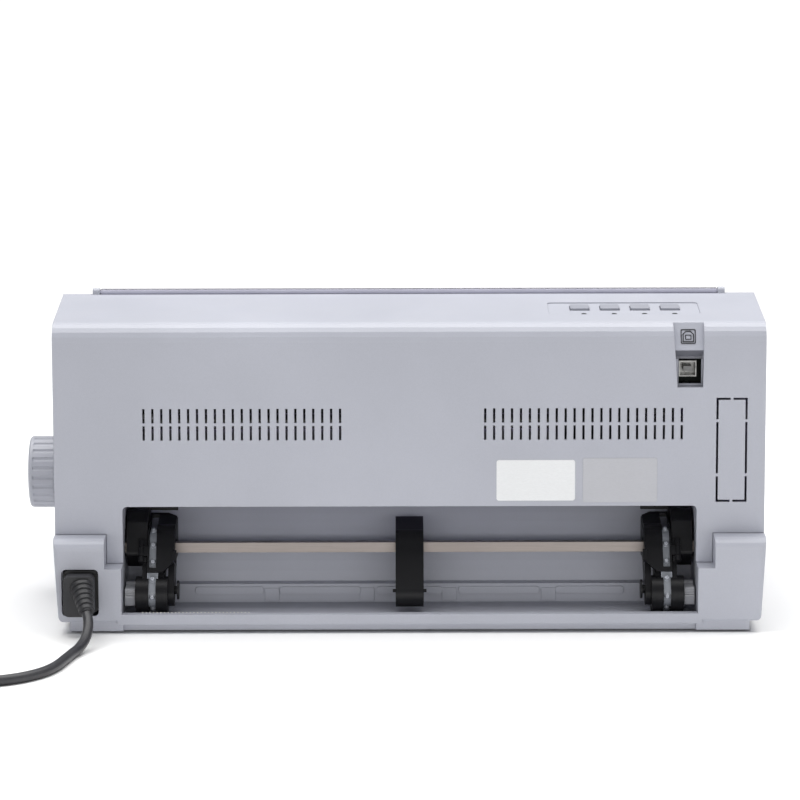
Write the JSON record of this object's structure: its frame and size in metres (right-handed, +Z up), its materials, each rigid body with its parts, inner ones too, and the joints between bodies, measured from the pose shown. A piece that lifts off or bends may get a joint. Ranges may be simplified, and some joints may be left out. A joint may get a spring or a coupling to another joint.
{
  "type": "dot matrix printer",
  "caption": "Wide flatbed dot matrix printer with rear pin-belt tractors, print carriage, hinged cover, platen knob and mains lead.",
  "frame": {"origin": "on the desk under the middle of the case, on the case's mid-plane and half way between its front and the back of its rear shoulders", "axes": "+X along the platen towards the knob's end, which is the printer's right, +Y to the rear, where the tractor bay is, +Z up"},
  "size_m": [0.6505, 0.5155, 0.2265],
  "materials": {
    "case": "satin",
    "cover_tint": "gloss",
    "platen_rubber": "matte",
    "foot_rubber": "matte",
    "steel": "brushed",
    "zinc_sheet": "satin",
    "bronze": "satin",
    "nylon": "satin",
    "black_plastic": "satin",
    "dark_grey": "satin",
    "knob_grey": "satin",
    "button_grey": "satin",
    "motor": "satin",
    "belt_rubber": "matte",
    "circuit_board": "satin",
    "cord_jacket": "matte",
    "plug": "satin"
  },
  "bodies": {
    "chassis": {"lower_case": "case", "upper_case": "case", "paper_table": "case", "rear_guide": "zinc_sheet", "rubber_feet": "foot_rubber", "case_screws": "steel", "base_plate": "zinc_sheet", "side_frame_left": "zinc_sheet", "side_frame_right": "zinc_sheet", "platen_bushes": "bronze", "carriage_rod": "steel", "carriage_rail": "zinc_sheet", "carriage_belt": "belt_rubber", "carriage_motor": "motor", "ribbon_cartridge": "black_plastic", "feed_motor": "motor", "tractor_bushes": "bronze", "tractor_rod": "steel", "panel_board": "circuit_board", "main_board": "circuit_board", "usb_socket": "steel", "power_supply": "circuit_board", "power_inlet": "black_plastic", "switch_frame": "black_plastic", "inlet_plug": "plug", "cord_run": "cord_jacket", "cord_coil": "cord_jacket", "mains_plug": "plug"},
    "cover": {"top_cover": "cover_tint"},
    "platen_roller": {"platen": "platen_rubber", "platen_shaft": "steel", "platen_gear": "nylon", "knob": "knob_grey"},
    "feed_idler": {"feed_gear": "nylon"},
    "pinion": {"feed_pinion": "steel"},
    "tractor_drive": {"tractor_shaft": "steel", "tractor_gear": "nylon"},
    "left_tractor": {"tractor_left": "black_plastic", "tractor_left_belt": "nylon"},
    "left_hub": {"tractor_left_hub": "dark_grey"},
    "left_lid": {"tractor_left_lid": "black_plastic"},
    "left_lever": {"tractor_left_lever": "knob_grey"},
    "right_tractor": {"tractor_right": "black_plastic", "tractor_right_belt": "nylon"},
    "right_hub": {"tractor_right_hub": "dark_grey"},
    "right_lid": {"tractor_right_lid": "black_plastic"},
    "right_lever": {"tractor_right_lever": "knob_grey"},
    "middle_support": {"centre_support": "black_plastic"},
    "print_carriage": {"carriage": "dark_grey", "print_head": "motor"},
    "belt_pulley": {"motor_pulley": "steel"},
    "belt_roller": {"belt_idler": "nylon"},
    "ribbon_winder": {"ribbon_knob": "dark_grey"},
    "button_one": {"button_1": "button_grey"},
    "button_two": {"button_2": "button_grey"},
    "button_three": {"button_3": "button_grey"},
    "button_four": {"button_4": "button_grey"},
    "rocker": {"power_switch": "black_plastic"},
    "edge_guide": {"table_guide": "dark_grey"}
  },
  "joints": [
    {"name": "cover_hinge", "type": "hinge", "parent": "chassis", "child": "cover", "pos_m": [0, 0.062, 0.2238], "axis": [-1, 0, 0], "range_deg": [0, 110]},
    {"name": "platen_spin", "type": "hinge", "parent": "chassis", "child": "platen_roller", "pos_m": [0, 0.04, 0.09], "axis": [1, 0, 0], "continuous": true},
    {"name": "feed_gear_spin", "type": "hinge", "parent": "chassis", "child": "feed_idler", "pos_m": [0.215, 0.0808, 0.06109], "axis": [1, 0, 0], "continuous": true},
    {"name": "pinion_spin", "type": "hinge", "parent": "chassis", "child": "pinion", "pos_m": [0.215, 0.04721, 0.03758], "axis": [1, 0, 0], "continuous": true},
    {"name": "tractor_shaft_spin", "type": "hinge", "parent": "chassis", "child": "tractor_drive", "pos_m": [0, 0.13, 0.0522], "axis": [1, 0, 0], "continuous": true},
    {"name": "left_tractor_slide", "type": "slide", "parent": "chassis", "child": "left_tractor", "axis": [1, 0, 0], "range_m": [0, 0.09]},
    {"name": "left_hub_spin", "type": "hinge", "parent": "left_tractor", "child": "left_hub", "pos_m": [-0.1788, 0.13, 0.0522], "axis": [1, 0, 0], "continuous": true},
    {"name": "left_lid_hinge", "type": "hinge", "parent": "left_tractor", "child": "left_lid", "pos_m": [-0.1868, 0.14747, 0.05247], "axis": [0, -0.5281, 0.8492], "range_deg": [0, 55]},
    {"name": "left_lever_pivot", "type": "hinge", "parent": "left_tractor", "child": "left_lever", "pos_m": [-0.19425, 0.14388, 0.02644], "axis": [1, 0, 0], "range_deg": [0, 30]},
    {"name": "right_tractor_slide", "type": "slide", "parent": "chassis", "child": "right_tractor", "axis": [-1, 0, 0], "range_m": [0, 0.09]},
    {"name": "right_hub_spin", "type": "hinge", "parent": "right_tractor", "child": "right_hub", "pos_m": [0.1788, 0.13, 0.0522], "axis": [1, 0, 0], "continuous": true},
    {"name": "right_lid_hinge", "type": "hinge", "parent": "right_tractor", "child": "right_lid", "pos_m": [0.1868, 0.14747, 0.05247], "axis": [0, 0.5281, -0.8492], "range_deg": [0, 55]},
    {"name": "right_lever_pivot", "type": "hinge", "parent": "right_tractor", "child": "right_lever", "pos_m": [0.19425, 0.14388, 0.02644], "axis": [1, 0, 0], "range_deg": [0, 30]},
    {"name": "middle_support_slide", "type": "slide", "parent": "chassis", "child": "middle_support", "axis": [1, 0, 0], "range_m": [-0.05, 0.05]},
    {"name": "carriage_slide", "type": "slide", "parent": "chassis", "child": "print_carriage", "axis": [1, 0, 0], "range_m": [0, 0.3]},
    {"name": "pulley_spin", "type": "hinge", "parent": "chassis", "child": "belt_pulley", "pos_m": [-0.1802, 0.116, 0.15], "axis": [0, 0, 1], "range_deg": [0, 2149]},
    {"name": "roller_spin", "type": "hinge", "parent": "chassis", "child": "belt_roller", "pos_m": [0.1852, 0.116, 0.15], "axis": [0, 0, 1], "range_deg": [0, 2149]},
    {"name": "ribbon_winder_spin", "type": "hinge", "parent": "chassis", "child": "ribbon_winder", "pos_m": [-0.15, -0.058, 0.13], "axis": [0, 0, 1], "continuous": true},
    {"name": "button_one_press", "type": "slide", "parent": "chassis", "child": "button_one", "axis": [0, -0.1175, -0.9931], "range_m": [0, 0.001], "stiffness_N_per_m": 1000, "springref_m": -0.0005},
    {"name": "button_two_press", "type": "slide", "parent": "chassis", "child": "button_two", "axis": [0, -0.1175, -0.9931], "range_m": [0, 0.001], "stiffness_N_per_m": 1000, "springref_m": -0.0005},
    {"name": "button_three_press", "type": "slide", "parent": "chassis", "child": "button_three", "axis": [0, -0.1175, -0.9931], "range_m": [0, 0.001], "stiffness_N_per_m": 1000, "springref_m": -0.0005},
    {"name": "button_four_press", "type": "slide", "parent": "chassis", "child": "button_four", "axis": [0, -0.1175, -0.9931], "range_m": [0, 0.001], "stiffness_N_per_m": 1000, "springref_m": -0.0005},
    {"name": "power_switch_rock", "type": "hinge", "parent": "chassis", "child": "rocker", "pos_m": [0.214, -0.171, 0.04], "axis": [1, 0, 0], "range_deg": [0, 8]},
    {"name": "edge_guide_slide", "type": "slide", "parent": "chassis", "child": "edge_guide", "axis": [1, 0, 0], "range_m": [0, 0.15]}
  ],
  "couplings": [
    {"joint": "feed_gear_spin", "follows": "platen_spin", "ratio": -0.5625},
    {"joint": "pinion_spin", "follows": "platen_spin", "ratio": 2},
    {"joint": "tractor_shaft_spin", "follows": "platen_spin", "ratio": 1},
    {"joint": "left_hub_spin", "follows": "platen_spin", "ratio": 1},
    {"joint": "right_hub_spin", "follows": "platen_spin", "ratio": 1},
    {"joint": "pulley_spin", "follows": "carriage_slide", "rad_per_m": 125},
    {"joint": "roller_spin", "follows": "carriage_slide", "rad_per_m": 125}
  ]
}
